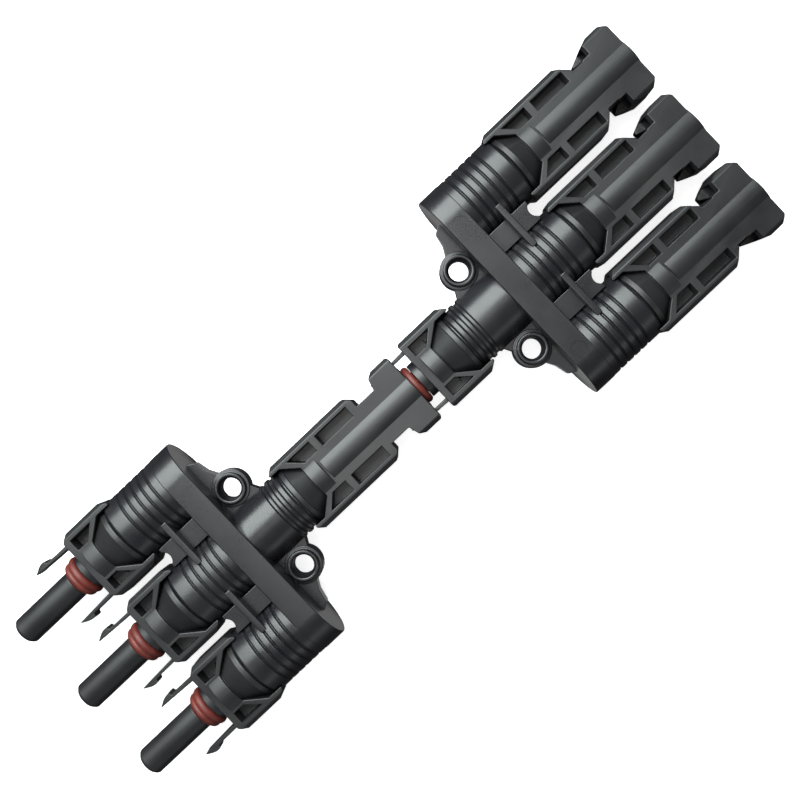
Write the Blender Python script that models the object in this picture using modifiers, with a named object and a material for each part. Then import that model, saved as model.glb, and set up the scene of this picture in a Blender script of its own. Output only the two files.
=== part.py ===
"""A plugged-together pair of three-to-one branch connectors for solar cable, lying flat.

Unit A is a manifold with three socket couplers on one side and one pin shell on the other.
Unit B is a manifold with three pin shells and one socket coupler, which is plugged into
unit A's pin shell. +X runs from unit A to unit B, +Y across the ports and +Z is up. The
origin is under the middle of the pair, on the surface it lies on.

Each unit is modelled in its own frame: x = 0 is the manifold face on the single-port side,
and the single port points to +x. Each coupler is modelled with its axis on x: a socket
coupler has its front face at x = 0, and a pin shell has its open tip at x = 0.
"""

import math

import bmesh
import bpy
from mathutils import Matrix

MM = 0.001

# The pair
UNIT_SPACING = 92.4 * MM
PORT_PITCH = 24.3 * MM
SEGMENTS = 16
FINE_SEGMENTS = 12
GAP = 0.3 * MM
COUPLER_GAP = 0.4 * MM

# Manifold
SLAB_R = 10.15 * MM
STEM_R = 10.05 * MM
SLAB_DEPTH = 6.7 * MM
TRIPLE_STEM_END = 23.7 * MM
SINGLE_STEM_R = 9.15 * MM
RECESSES = ((5.6 * MM, 4.2 * MM), (3.2 * MM, 1.7 * MM))
RECESS_DEPTH = 0.5 * MM
SINGLE_STEM_END = {"a": 15.8 * MM, "b": 16.3 * MM}
GROOVE_DEPTH = 0.6 * MM
GROOVE_WIDTH = 0.8 * MM
RIDGE_PITCH = 2.4 * MM
RIDGES = 5
WEB_LENGTH = 12.2 * MM
WEB_HALF_HEIGHT = 5.4 * MM
CROSSBAR_START = 6.1 * MM
CROSSBAR_THICKNESS = 1.8 * MM
CROSSBAR_HALF_HEIGHT = 8.8 * MM
WIRE_BORE_R = 3.3 * MM

# Screw ears
EAR_X = 4.4 * MM
EAR_Y = 14.1 * MM
EAR_R = 5.2 * MM
EAR_HALF_HEIGHT = 2.5 * MM
GUSSET_HALF_HEIGHT = 2.2 * MM
BOSS_R = 4.2 * MM
BOSS_HALF_HEIGHT = 3.8 * MM
SCREW_HOLE_R = 2.7 * MM
LEAD_IN_R = 3.3 * MM
LEAD_IN_DEPTH = 2.0 * MM
GUSSET_END_Y = 26.7 * MM
GUSSET_REACH = 9.9 * MM

# Both couplers
FLAT_HALF_HEIGHT = 6.2 * MM
EDGE_CHAMFER = 1.2 * MM
COLLAR_LENGTH = 1.6 * MM
COLLAR_R = 9.2 * MM
CONE_SMALL_R = 6.6 * MM
POCKET_OUTER_Y = 8.7 * MM
FAN_HALF_WIDTH = 9.15 * MM
POCKET_FLOOR = 1.0 * MM
FAN_FLOOR = 2.6 * MM
CLIP_BORE_R = 4.4 * MM
CONTACT_BORE_R = 3.15 * MM

# Socket coupler
SOCKET_HALF_WIDTH = 11.1 * MM
SOCKET_COLLAR_END = 13.3 * MM
SOCKET_WALL_END = 16.0 * MM
FRONT_PLATE = 2.0 * MM
SOCKET_POCKET_END = 10.7 * MM
SOCKET_POCKET_INNER_Y = 5.4 * MM
SOCKET_NECK_R = 7.7 * MM
PROBE_R = 4.0 * MM
PROBE_LENGTH = 26.4 * MM
PROBE_ROUND = 0.9 * MM
PROBE_MOUTH_R = 2.3 * MM
PROBE_LIP = 1.9 * MM
SOCKET_CONE_FRONT = 6.2 * MM
SOCKET_NECK_FRONT = 2.1 * MM
SOCKET_FAN_HALF_WIDTH = 4.5 * MM
SOCKET_CLIP_BORE_END = 4.0 * MM
SEAL_SEAT_R = 5.4 * MM
SEAL_X = 4.25 * MM
SEAL_HALF_LENGTH = 2.15 * MM
SEAL_INNER_R = 3.6 * MM
SEAL_OUTER_R = 5.9 * MM
SEAL_GROOVE_R = 3.45 * MM

# Latch arm
ARM_HINGE_X = -0.5 * MM
ARM_HINGE_Y = 8.5 * MM
ARM_HALF_HEIGHT = 2.5 * MM
ARM_ROOT = 1.0 * MM
ARM_LENGTH = 12.4 * MM
HOOK_X = 8.2 * MM
HOOK_Y = 10.15 * MM
ARM_SQUEEZE = math.radians(3.0)

# Pin shell
SHELL_HALF_WIDTH = 10.85 * MM
SHELL_COLLAR_END = 42.3 * MM
SHELL_WALL_END = 44.0 * MM
TIP_BLOCK_LENGTH = 8.4 * MM
TIP_FACE_X = -0.15 * MM
WAIST_END = 14.5 * MM
WAIST_HALF_WIDTH = 6.7 * MM
BARREL_R = 6.85 * MM
BARREL_END = 31.6 * MM
BARREL_GROOVE_R = 6.0 * MM
BARREL_GROOVE_WIDTH = 0.6 * MM
SHELL_NECK_R = 7.5 * MM
SHELL_NECK_END = 36.3 * MM
SHELL_FAN_HALF_WIDTH = 5.0 * MM
SHELL_POCKET_INNER_Y = 5.35 * MM
SHELL_POCKETS = ((16.9 * MM, 27.9 * MM), (30.1 * MM, 39.6 * MM))
MOUTH_R = 6.05 * MM
MOUTH_DEPTH = 6.6 * MM
PLUG_BORE_R = 4.3 * MM
PLUG_BORE_DEPTH = 28.6 * MM
CLIP_BORE_START = 36.0 * MM
CHANNEL_Y = (6.95 * MM, 9.85 * MM)
CHANNEL_HALF_HEIGHT = 3.0 * MM
SHELF_LENGTH = 2.5 * MM

# Metal parts
PIN_R = 2.0 * MM
PIN_START = 6.0 * MM
CONTACT_R = 3.0 * MM
CRIMP_R = 2.6 * MM
CRIMP_BORE_R = 1.7 * MM
CRIMP_DEPTH = 8.0 * MM
SOCKET_CONTACT_REAR = 20.0 * MM
PIN_CONTACT_REAR = 50.0 * MM
SOCKET_CRIMP_END = 8.0 * MM
PIN_CRIMP_END = 37.5 * MM
LAMELLA_SPAN = (8.0 * MM, 20.0 * MM)
CLIP_LENGTH = 3.0 * MM
STUB_R = 1.4 * MM
BUS_X = (-4.4 * MM, -2.4 * MM)
BUS_HALF_WIDTH = 26.0 * MM
BUS_HALF_HEIGHT = 2.7 * MM

# How the single and triple port couplers differ: wing and tip chamfers, front chamfer
SINGLE_SHELL_CHAMFERS = (2.0 * MM, 0.6 * MM)
TRIPLE_SHELL_CHAMFERS = (3.6 * MM, 1.9 * MM)
SINGLE_FRONT_CHAMFER = 0.5 * MM
TRIPLE_FRONT_CHAMFER = 1.9 * MM

# Placement
SOCKET_FACE = SOCKET_COLLAR_END + COUPLER_GAP
SHELL_TIP = SHELL_COLLAR_END + COUPLER_GAP
A_REACH = TRIPLE_STEM_END + SOCKET_FACE + PROBE_LENGTH
B_REACH = TRIPLE_STEM_END + SHELL_TIP
PAIR_LENGTH = A_REACH + UNIT_SPACING + B_REACH
UNIT_A_X = A_REACH - PAIR_LENGTH / 2
UNIT_B_X = UNIT_A_X + UNIT_SPACING
AXIS_Z = SLAB_R

BLACK_PLASTIC = ("black_plastic", (0.035, 0.036, 0.038, 1.0), 0.38, 0.0)
LATCH_PLASTIC = ("latch_plastic", (0.045, 0.046, 0.047, 1.0), 0.42, 0.0)
SEAL_RUBBER = ("seal_rubber", (0.42, 0.075, 0.045, 1.0), 0.45, 0.0)
TINNED_COPPER = ("tinned_copper", (0.72, 0.71, 0.69, 1.0), 0.30, 1.0)
SPRING_BRASS = ("spring_brass", (0.80, 0.62, 0.30, 1.0), 0.28, 1.0)
CLIP_STEEL = ("clip_steel", (0.62, 0.62, 0.63, 1.0), 0.32, 1.0)
BUS_COPPER = ("bus_copper", (0.86, 0.46, 0.30, 1.0), 0.35, 1.0)

# Turns a shape drawn in x and y, thick in z, so that it lies in y and z, thick in x.
TO_X = Matrix(((0, 0, 1, 0), (1, 0, 0, 0), (0, 1, 0, 0), (0, 0, 0, 1)))


def clear_scene():
    for obj in list(bpy.data.objects):
        bpy.data.objects.remove(obj, do_unlink=True)


def new_collection(name):
    collection = bpy.data.collections.new(name)
    bpy.context.scene.collection.children.link(collection)
    return collection


def material(name, colour, roughness, metallic):
    found = bpy.data.materials.get(name)
    if found:
        return found
    made = bpy.data.materials.new(name)
    made.use_nodes = True
    shader = made.node_tree.nodes["Principled BSDF"]
    shader.inputs["Base Color"].default_value = colour
    shader.inputs["Roughness"].default_value = roughness
    shader.inputs["Metallic"].default_value = metallic
    made.diffuse_color = colour
    return made


# ---- shapes, each a hidden wire object among the cutters ----


def helper(name, mesh):
    obj = bpy.data.objects.new(name, mesh)
    obj.hide_render = True
    obj.display_type = "WIRE"
    CUTTERS.objects.link(obj)
    return obj


def evaluated_mesh(obj):
    """The object's mesh after its modifiers, welded, with its faces pointing out."""
    bpy.context.view_layer.update()
    graph = bpy.context.evaluated_depsgraph_get()
    mesh = bpy.data.meshes.new_from_object(obj.evaluated_get(graph))
    shape = bmesh.new()
    shape.from_mesh(mesh)
    bmesh.ops.remove_doubles(shape, verts=shape.verts, dist=0.002 * MM)
    bmesh.ops.dissolve_degenerate(shape, edges=shape.edges, dist=0.001 * MM)
    bmesh.ops.recalc_face_normals(shape, faces=shape.faces)
    shape.to_mesh(mesh)
    shape.free()
    return mesh


def block(low, high):
    """A box between two corners."""
    size = [b - a for a, b in zip(low, high)]
    middle = [(a + b) / 2 for a, b in zip(low, high)]
    shape = bmesh.new()
    place = Matrix.Translation(middle) @ Matrix.Diagonal((*size, 1.0))
    bmesh.ops.create_cube(shape, size=1.0, matrix=place)
    mesh = bpy.data.meshes.new("block")
    shape.to_mesh(mesh)
    shape.free()
    return helper("block", mesh)


def turned(profile, segments=SEGMENTS, ring=False, upright=False):
    """A solid turned about x, or z if upright, from (distance along the axis, radius) points.

    A ring's profile closes on itself; any other starts and ends on the axis.
    """
    mesh = bpy.data.meshes.new("turned")
    points = [(radius, 0.0, x) for x, radius in profile]
    edges = [(i, i + 1) for i in range(len(points) - 1)]
    if ring:
        edges.append((len(points) - 1, 0))
    mesh.from_pydata(points, edges, [])
    spun = helper("turned", mesh)
    screw = spun.modifiers.new("Screw", "SCREW")
    screw.axis = "Z"
    screw.steps = segments
    screw.render_steps = segments
    screw.use_merge_vertices = True
    screw.merge_threshold = 0.000001
    solid = evaluated_mesh(spun)
    if not upright:
        solid.transform(TO_X)
    bpy.data.objects.remove(spun)
    return helper("turned", solid)


def plate(points, low, high, turn=None):
    """A flat outline in x and y, thick from low to high in z, then turned by a matrix."""
    curve = bpy.data.curves.new("plate", "CURVE")
    curve.dimensions = "2D"
    curve.fill_mode = "BOTH"
    curve.extrude = (high - low) / 2
    spline = curve.splines.new("POLY")
    spline.points.add(len(points) - 1)
    for point, (x, y) in zip(spline.points, points):
        point.co = (x, y, 0.0, 1.0)
    spline.use_cyclic_u = True
    drawn = helper("plate", curve)
    solid = evaluated_mesh(drawn)
    solid.transform(Matrix.Translation((0.0, 0.0, (low + high) / 2)))
    if turn is not None:
        solid.transform(turn)
    bpy.data.objects.remove(drawn)
    return helper("plate", solid)


def arc(centre, radius, start, end, steps):
    """Points on a circle, angles in degrees."""
    angles = [math.radians(start + (end - start) * i / steps) for i in range(steps + 1)]
    return [
        (centre[0] + radius * math.cos(a), centre[1] + radius * math.sin(a))
        for a in angles
    ]


def shaped(base, unions=(), keeps=(), cuts=()):
    """The mesh of base joined with unions, kept only inside keeps and cut by cuts."""
    steps = (("UNION", unions), ("INTERSECT", keeps), ("DIFFERENCE", cuts))
    body = helper("body", base.data.copy())
    for operation, others in steps:
        for other in others:
            boolean = body.modifiers.new(operation.title(), "BOOLEAN")
            boolean.operation = operation
            boolean.object = other
            boolean.solver = "EXACT"
            stepped = evaluated_mesh(body)
            body.modifiers.clear()
            body.data = stepped
    return body.data


def mirrored(make):
    """make(side) for both sides of the port axis."""
    return [make(side) for side in (-1, 1)]


def put(name, mesh, finish, parent, location=(0.0, 0.0, 0.0), turn=0.0):
    """A part of the object, in the parts collection under its frame."""
    obj = bpy.data.objects.new(name, mesh)
    if not mesh.materials:
        mesh.materials.append(material(*finish))
        mesh.shade_smooth()
        mesh.set_sharp_from_angle(angle=math.radians(28))
    PARTS.objects.link(obj)
    obj.parent = parent
    obj.location = location
    obj.rotation_euler = (0.0, 0.0, turn)
    return obj


def frame(name, parent, location, turn=0.0):
    empty = bpy.data.objects.new(name, None)
    empty.empty_display_size = 5 * MM
    PARTS.objects.link(empty)
    empty.parent = parent
    empty.location = location
    empty.rotation_euler = (0.0, 0.0, turn)
    return empty


# ---- manifold ----


def triple_stem(y):
    """A ribbed stem, with its V grooves between the slab and the coupler."""
    profile = [(-SLAB_DEPTH / 2, 0.0), (-SLAB_DEPTH / 2, STEM_R)]
    for i in range(RIDGES):
        middle = -SLAB_DEPTH - RIDGE_PITCH * (i + 1)
        profile += [(middle + GROOVE_WIDTH / 2, STEM_R), (middle, STEM_R - GROOVE_DEPTH),
                    (middle - GROOVE_WIDTH / 2, STEM_R)]
    stem = turned(profile + [(-TRIPLE_STEM_END, STEM_R), (-TRIPLE_STEM_END, 0.0)])
    stem.location = (0.0, y, 0.0)
    return stem


def single_stem(end):
    """A plain stem with two recesses, each between two distances back from its end."""
    floor = SINGLE_STEM_R - RECESS_DEPTH
    profile = [(-SLAB_DEPTH / 2, 0.0), (-SLAB_DEPTH / 2, SINGLE_STEM_R)]
    for far, near in RECESSES:
        profile += [(end - far, SINGLE_STEM_R), (end - far, floor), (end - near, floor),
                    (end - near, SINGLE_STEM_R)]
    return turned(profile + [(end, SINGLE_STEM_R), (end, 0.0)])


def slab():
    """The stadium-shaped cross piece that joins the stems."""
    steps = SEGMENTS // 2
    right = arc((PORT_PITCH, 0.0), SLAB_R, -90, 90, steps)
    left = arc((-PORT_PITCH, 0.0), SLAB_R, 90, 270, steps)
    return plate(right + left, -SLAB_DEPTH, 0.0, TO_X)


def ear_pieces(side):
    """A screw ear: a flange, a raised boss and the gusset that carries them."""
    pieces = []
    for half_height, radius in ((EAR_HALF_HEIGHT, EAR_R), (BOSS_HALF_HEIGHT, BOSS_R)):
        piece = turned([(-half_height, 0.0), (-half_height, radius), (half_height, radius),
                        (half_height, 0.0)], upright=True)
        piece.location = (EAR_X, side * EAR_Y, 0.0)
        pieces.append(piece)
    ear_far_y = EAR_Y + EAR_R
    outline = [
        (-SLAB_DEPTH / 2, side * SINGLE_STEM_R / 2),
        (-SLAB_DEPTH / 2, side * GUSSET_END_Y),
        (0.0, side * GUSSET_END_Y),
        (2.0 * MM, side * (GUSSET_END_Y - 1.2 * MM)),
        (2.8 * MM, side * (ear_far_y + 2.6 * MM)),
        (EAR_X, side * (ear_far_y - 0.2 * MM)),
        (EAR_X + EAR_R * 0.8, side * (EAR_Y - EAR_R * 0.55)),
        (GUSSET_REACH, side * (SINGLE_STEM_R - 0.4 * MM)),
        (GUSSET_REACH, side * SINGLE_STEM_R / 2),
    ]
    pieces.append(plate(outline, -GUSSET_HALF_HEIGHT, GUSSET_HALF_HEIGHT))
    return pieces


def screw_hole(side):
    """A hole with a lead-in at both ends."""
    top = BOSS_HALF_HEIGHT + MM
    lead = BOSS_HALF_HEIGHT - LEAD_IN_DEPTH
    flare = LEAD_IN_R + (LEAD_IN_R - SCREW_HOLE_R) * MM / LEAD_IN_DEPTH
    hole = turned([(-top, 0.0), (-top, flare), (-lead, SCREW_HOLE_R),
                   (lead, SCREW_HOLE_R), (top, flare), (top, 0.0)], upright=True)
    hole.location = (EAR_X, side * EAR_Y, 0.0)
    return hole


def stem_bridge(side):
    """The web and the crossbar between the middle stem and an outer one."""
    near, far = sorted((side * STEM_R / 2, side * (PORT_PITCH - STEM_R / 2)))
    root = -SLAB_DEPTH
    web = block((root - WEB_LENGTH, near, -WEB_HALF_HEIGHT),
                (root + MM, far, WEB_HALF_HEIGHT))
    bar_end = root - CROSSBAR_START - CROSSBAR_THICKNESS
    bar = block((bar_end, near, -CROSSBAR_HALF_HEIGHT),
                (root - CROSSBAR_START, far, CROSSBAR_HALF_HEIGHT))
    return [web, bar]


def wire_passages(single_end):
    """Bores down the stems and the chamber across the slab that joins them."""
    middle = sum(BUS_X) / 2
    passages = []
    for y in (-PORT_PITCH, 0.0, PORT_PITCH):
        far = -TRIPLE_STEM_END - MM
        bore = turned([(far, 0.0), (far, WIRE_BORE_R), (middle, WIRE_BORE_R), (middle, 0.0)],
                      FINE_SEGMENTS)
        bore.location = (0.0, y, 0.0)
        passages.append(bore)
    far = single_end + MM
    passages.append(turned([(middle, 0.0), (middle, WIRE_BORE_R), (far, WIRE_BORE_R),
                            (far, 0.0)], FINE_SEGMENTS))
    room = 0.4 * MM
    passages.append(block((BUS_X[0] - room, -BUS_HALF_WIDTH - room, -BUS_HALF_HEIGHT - room),
                          (BUS_X[1] + room, BUS_HALF_WIDTH + room, BUS_HALF_HEIGHT + room)))
    return passages


def manifold_mesh(single_end):
    unions = [triple_stem(y) for y in (-PORT_PITCH, 0.0, PORT_PITCH)]
    unions.append(single_stem(single_end))
    for side in (-1, 1):
        unions += ear_pieces(side) + stem_bridge(side)
    return shaped(slab(), unions, cuts=wire_passages(single_end) + mirrored(screw_hole))


# ---- couplers ----


def chamfer_keep(half_width, start, end):
    """A prism along x that takes the long edges off whatever is kept inside it."""
    beyond = MM
    corners = [(half_width + beyond, FLAT_HALF_HEIGHT - EDGE_CHAMFER - beyond),
               (half_width - EDGE_CHAMFER - beyond, FLAT_HALF_HEIGHT + beyond)]
    upper = corners + [(-y, z) for y, z in reversed(corners)]
    return plate(upper + [(-y, -z) for y, z in upper], start, end, TO_X)


def pocket(side, start, end, inner_y, above):
    """A moulding pocket beside the port axis, open above or below the middle web."""
    y = sorted((side * inner_y, side * POCKET_OUTER_Y))
    z = sorted((above * POCKET_FLOOR, above * (FLAT_HALF_HEIGHT + MM)))
    return block((start, y[0], z[0]), (end, y[1], z[1]))


def neck_flank(side, start, end, inner_y, above):
    """Flattens the turned core where it would bulge into a pocket."""
    y = sorted((side * inner_y, side * (POCKET_OUTER_Y - 0.3 * MM)))
    z = sorted((above * (POCKET_FLOOR + 0.1 * MM), above * (FLAT_HALF_HEIGHT + 2 * MM)))
    return block((start, y[0], z[0]), (end, y[1], z[1]))


def fan_relief(rear, wide_x, narrow_x, narrow_y, above):
    """The tapering relief round the cone, cut down to the fan floor."""
    wide_y = FAN_HALF_WIDTH
    outline = [(narrow_x, -narrow_y), (narrow_x, narrow_y), (wide_x, wide_y), (rear, wide_y),
               (rear, -wide_y), (wide_x, -wide_y)]
    z = sorted((above * FAN_FLOOR, above * (FLAT_HALF_HEIGHT + MM)))
    return plate(outline, z[0], z[1])


def stem_clearance(collar_end, rear, stem_r):
    """Takes the coupler's walls clear of the stem that they run back over."""
    radius = stem_r + GAP
    front = 0.1 * MM - collar_end
    return turned([(rear - MM, 0.0), (rear - MM, radius), (front, radius), (front, 0.0)])


def socket_body_outline(front):
    half, rear = SOCKET_HALF_WIDTH, 2.4 * MM
    side = [(-SOCKET_WALL_END, half - 1.8 * MM), (rear - SOCKET_WALL_END, half),
            (-front, half), (0.0, half - front)]
    return side + [(x, -y) for x, y in reversed(side)]


def socket_core():
    """The turned middle of a socket coupler: collar, cone, neck, seal seat and probe tube."""
    collar_x = -SOCKET_COLLAR_END
    cone_x = collar_x + COLLAR_LENGTH
    seal_half = SEAL_HALF_LENGTH + 0.1 * MM
    return turned([
        (collar_x, 0.0), (collar_x, COLLAR_R), (cone_x, COLLAR_R), (cone_x, COLLAR_R - 0.3 * MM),
        (-SOCKET_CONE_FRONT, CONE_SMALL_R), (-SOCKET_CONE_FRONT, SOCKET_NECK_R),
        (-SOCKET_NECK_FRONT, SOCKET_NECK_R), (-SOCKET_NECK_FRONT, SEAL_SEAT_R),
        (SEAL_X - seal_half, SEAL_SEAT_R), (SEAL_X - seal_half, SEAL_GROOVE_R),
        (SEAL_X + seal_half, SEAL_GROOVE_R), (SEAL_X + seal_half, PROBE_R),
        (PROBE_LENGTH - PROBE_ROUND, PROBE_R), (PROBE_LENGTH, PROBE_R - PROBE_ROUND),
        (PROBE_LENGTH, 0.0),
    ])


def socket_bore():
    """Rear bore for the clip, contact bore, and the narrower mouth that stops the contact."""
    rear, lip, front = -SOCKET_COLLAR_END - MM, PROBE_LENGTH - PROBE_LIP, PROBE_LENGTH + MM
    clip_end = -SOCKET_CLIP_BORE_END
    return turned([(rear, 0.0), (rear, CLIP_BORE_R), (clip_end, CLIP_BORE_R),
                   (clip_end, CONTACT_BORE_R), (lip, CONTACT_BORE_R), (lip, PROBE_MOUTH_R),
                   (front, PROBE_MOUTH_R), (front, 0.0)], FINE_SEGMENTS)


def arm_slot(side):
    """The slot in the front plate that an arm's root sits in, with room for it to tilt."""
    y = sorted((side * (ARM_HINGE_Y - 1.1 * MM), side * (ARM_HINGE_Y + 1.2 * MM)))
    z = ARM_HALF_HEIGHT + GAP
    return block((-ARM_ROOT - GAP, y[0], -z), (MM, y[1], z))


def socket_mesh(stem_r, front_chamfer):
    body = plate(socket_body_outline(front_chamfer), -FLAT_HALF_HEIGHT, FLAT_HALF_HEIGHT)
    rear = -SOCKET_WALL_END
    cuts = [stem_clearance(SOCKET_COLLAR_END, rear, stem_r)]
    for above in (-1, 1):
        cuts.append(fan_relief(rear - MM, COLLAR_LENGTH - SOCKET_COLLAR_END,
                               -SOCKET_CONE_FRONT, SOCKET_FAN_HALF_WIDTH, above))
        for side in (-1, 1):
            cuts.append(pocket(side, -SOCKET_POCKET_END, -FRONT_PLATE,
                               SOCKET_POCKET_INNER_Y, above))
    keep = chamfer_keep(SOCKET_HALF_WIDTH, rear - MM, MM)
    body = helper("socket_body", shaped(body, keeps=[keep], cuts=cuts))
    finish = [socket_bore()] + mirrored(arm_slot)
    for above in (-1, 1):
        for side in (-1, 1):
            finish.append(neck_flank(side, 0.1 * MM - SOCKET_CONE_FRONT,
                                     0.1 * MM - FRONT_PLATE, SOCKET_POCKET_INNER_Y, above))
    return shaped(body, [socket_core()], cuts=finish)


def arm_mesh(side, squeeze):
    """A latch arm about its hinge, with a hook that faces back and a tapered lead-in."""
    outline = [
        (-ARM_ROOT, 7.95 * MM), (ARM_LENGTH - 0.2 * MM, 8.55 * MM), (ARM_LENGTH, 8.75 * MM),
        (ARM_LENGTH - 1.6 * MM, 9.7 * MM), (HOOK_X + 1.4 * MM, HOOK_Y),
        (HOOK_X, HOOK_Y - 0.05 * MM), (HOOK_X, 9.2 * MM), (-ARM_ROOT, 9.1 * MM),
    ]
    local = [(x - ARM_HINGE_X, side * (y - ARM_HINGE_Y)) for x, y in outline]
    arm = plate(local, -ARM_HALF_HEIGHT, ARM_HALF_HEIGHT)
    arm.data.transform(Matrix.Rotation(-side * squeeze, 4, "Z"))
    return arm.data


def seal_mesh():
    """A broad seal with two lips, the rear one the larger."""
    half, outer = SEAL_HALF_LENGTH, SEAL_OUTER_R
    made = turned([
        (-half, SEAL_INNER_R), (-half, outer - 0.6 * MM), (-1.5 * MM, outer),
        (-0.6 * MM, outer), (0.05 * MM, outer - 0.55 * MM), (0.7 * MM, outer - 0.4 * MM),
        (1.3 * MM, outer - 0.6 * MM), (half, outer - 1.7 * MM), (half, SEAL_INNER_R),
    ], ring=True)
    return made.data


def shell_outline(wing_chamfer, tip_chamfer, shelf):
    """Wings that run back over the stem, a narrow waist at the latch window, and the tip.

    With a shelf, the tip block starts further back; its upper part is cut away later.
    """
    half = SHELL_HALF_WIDTH
    rear = -TIP_BLOCK_LENGTH
    shoulder = [(rear + 0.9 * MM, 9.8 * MM), (rear + 2.6 * MM, half)]
    if shelf:
        rear -= SHELF_LENGTH
        shoulder = [(rear, 8.7 * MM), (rear + 4.7 * MM, half)]
    side = [
        (-SHELL_WALL_END, half - 1.6 * MM), (1.6 * MM - SHELL_WALL_END, half),
        (-WAIST_END - wing_chamfer, half), (-WAIST_END, half - wing_chamfer),
        (-WAIST_END, WAIST_HALF_WIDTH), (rear, WAIST_HALF_WIDTH), *shoulder,
        (-tip_chamfer, half), (TIP_FACE_X, half - tip_chamfer),
    ]
    return side + [(x, -y) for x, y in reversed(side)]


def shelf_cut(side):
    """Clears the tip block's rear part above the shelf under the latch window."""
    y = sorted((side * (WAIST_HALF_WIDTH + 0.25 * MM), side * (SHELL_HALF_WIDTH + MM)))
    return block((-WAIST_END - 0.1 * MM, y[0], -CHANNEL_HALF_HEIGHT - GAP),
                 (-TIP_BLOCK_LENGTH, y[1], FLAT_HALF_HEIGHT + MM))


def shell_core():
    """The turned middle of a pin shell: collar, cone, neck and the long barrel."""
    collar_x = -SHELL_COLLAR_END
    cone_x = collar_x + COLLAR_LENGTH
    neck_front = -BARREL_END - BARREL_GROOVE_WIDTH
    return turned([
        (collar_x, 0.0), (collar_x, COLLAR_R), (cone_x, COLLAR_R), (cone_x, COLLAR_R - 0.3 * MM),
        (-SHELL_NECK_END, CONE_SMALL_R), (-SHELL_NECK_END, SHELL_NECK_R),
        (neck_front, SHELL_NECK_R), (neck_front, BARREL_GROOVE_R),
        (-BARREL_END, BARREL_GROOVE_R),
        (-BARREL_END, BARREL_R), (0.0, BARREL_R), (0.0, 0.0),
    ])


def shell_bore():
    rear = -SHELL_COLLAR_END - MM
    return turned([
        (rear, 0.0), (rear, CLIP_BORE_R), (-CLIP_BORE_START, CLIP_BORE_R),
        (-CLIP_BORE_START, CONTACT_BORE_R), (-PLUG_BORE_DEPTH, CONTACT_BORE_R),
        (-PLUG_BORE_DEPTH, PLUG_BORE_R), (-MOUTH_DEPTH, PLUG_BORE_R),
        (-MOUTH_DEPTH, MOUTH_R), (MM, MOUTH_R), (MM, 0.0),
    ])


def arm_channel(side):
    y = sorted(side * edge for edge in CHANNEL_Y)
    z = CHANNEL_HALF_HEIGHT
    return block((-TIP_BLOCK_LENGTH - 2 * MM, y[0], -z), (MM, y[1], z))


def shell_mesh(stem_r, wing_chamfer, tip_chamfer, shelf):
    outline = shell_outline(wing_chamfer, tip_chamfer, shelf)
    body = plate(outline, -FLAT_HALF_HEIGHT, FLAT_HALF_HEIGHT)
    rear = -SHELL_WALL_END
    cuts = [stem_clearance(SHELL_COLLAR_END, rear, stem_r)]
    if shelf:
        cuts += mirrored(shelf_cut)
    flanks = []
    neck_limit = -SHELL_NECK_END + 0.1 * MM
    for above in (-1, 1):
        cuts.append(fan_relief(rear - MM, COLLAR_LENGTH - SHELL_COLLAR_END, -SHELL_NECK_END,
                               SHELL_FAN_HALF_WIDTH, above))
        for side in (-1, 1):
            for front, back in SHELL_POCKETS:
                cuts.append(pocket(side, -back, -front, SHELL_POCKET_INNER_Y, above))
                start = max(-back + 0.1 * MM, neck_limit)
                flanks.append(neck_flank(side, start, -front - 0.1 * MM,
                                         SHELL_POCKET_INNER_Y, above))
    keep = chamfer_keep(SHELL_HALF_WIDTH, rear - MM, MM)
    body = helper("shell_body", shaped(body, keeps=[keep], cuts=cuts))
    finish = [shell_bore()] + mirrored(arm_channel) + flanks
    return shaped(body, [shell_core()], cuts=finish)


# ---- metal parts ----


def socket_contact_mesh():
    """A machined socket: crimp barrel behind, open tube in front."""
    rear, front = -SOCKET_CONTACT_REAR, PROBE_LENGTH - PROBE_LIP - 0.5 * MM
    tube_r, tube_back = 2.45 * MM, 2.0 * MM
    made = turned([
        (rear + CRIMP_DEPTH, 0.0), (rear + CRIMP_DEPTH, CRIMP_BORE_R), (rear, CRIMP_BORE_R),
        (rear, CRIMP_R), (-SOCKET_CRIMP_END, CRIMP_R), (-SOCKET_CRIMP_END, CONTACT_R),
        (front, CONTACT_R),
        (front, tube_r), (tube_back, tube_r), (tube_back, 0.0),
    ], FINE_SEGMENTS)
    return made.data


def lamella_mesh():
    """The thin spring sleeve that lines the socket."""
    start, end = LAMELLA_SPAN
    inner, outer = PIN_R + 0.1 * MM, PIN_R + 0.35 * MM
    made = turned([(start, inner), (start, outer), (end, outer), (end, inner)],
                  FINE_SEGMENTS, ring=True)
    return made.data


def pin_contact_mesh():
    rear, tip = -PIN_CONTACT_REAR, -PIN_START
    shoulder = -PLUG_BORE_DEPTH - GAP
    made = turned([
        (rear + CRIMP_DEPTH, 0.0), (rear + CRIMP_DEPTH, CRIMP_BORE_R), (rear, CRIMP_BORE_R),
        (rear, CRIMP_R), (-PIN_CRIMP_END, CRIMP_R), (-PIN_CRIMP_END, CONTACT_R),
        (shoulder, CONTACT_R), (shoulder, PIN_R), (tip - 1.2 * MM, PIN_R),
        (tip, PIN_R / 2), (tip, 0.0),
    ], FINE_SEGMENTS)
    return made.data


def clip_mesh():
    """A flared spring sleeve that holds a contact against the step in its bore."""
    thickness = 0.4 * MM
    front_r, rear_r = 3.2 * MM, 3.75 * MM
    made = turned([(0.0, front_r), (0.0, front_r + thickness),
                   (-CLIP_LENGTH, rear_r + thickness), (-CLIP_LENGTH, rear_r)],
                  FINE_SEGMENTS, ring=True)
    return made.data


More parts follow.
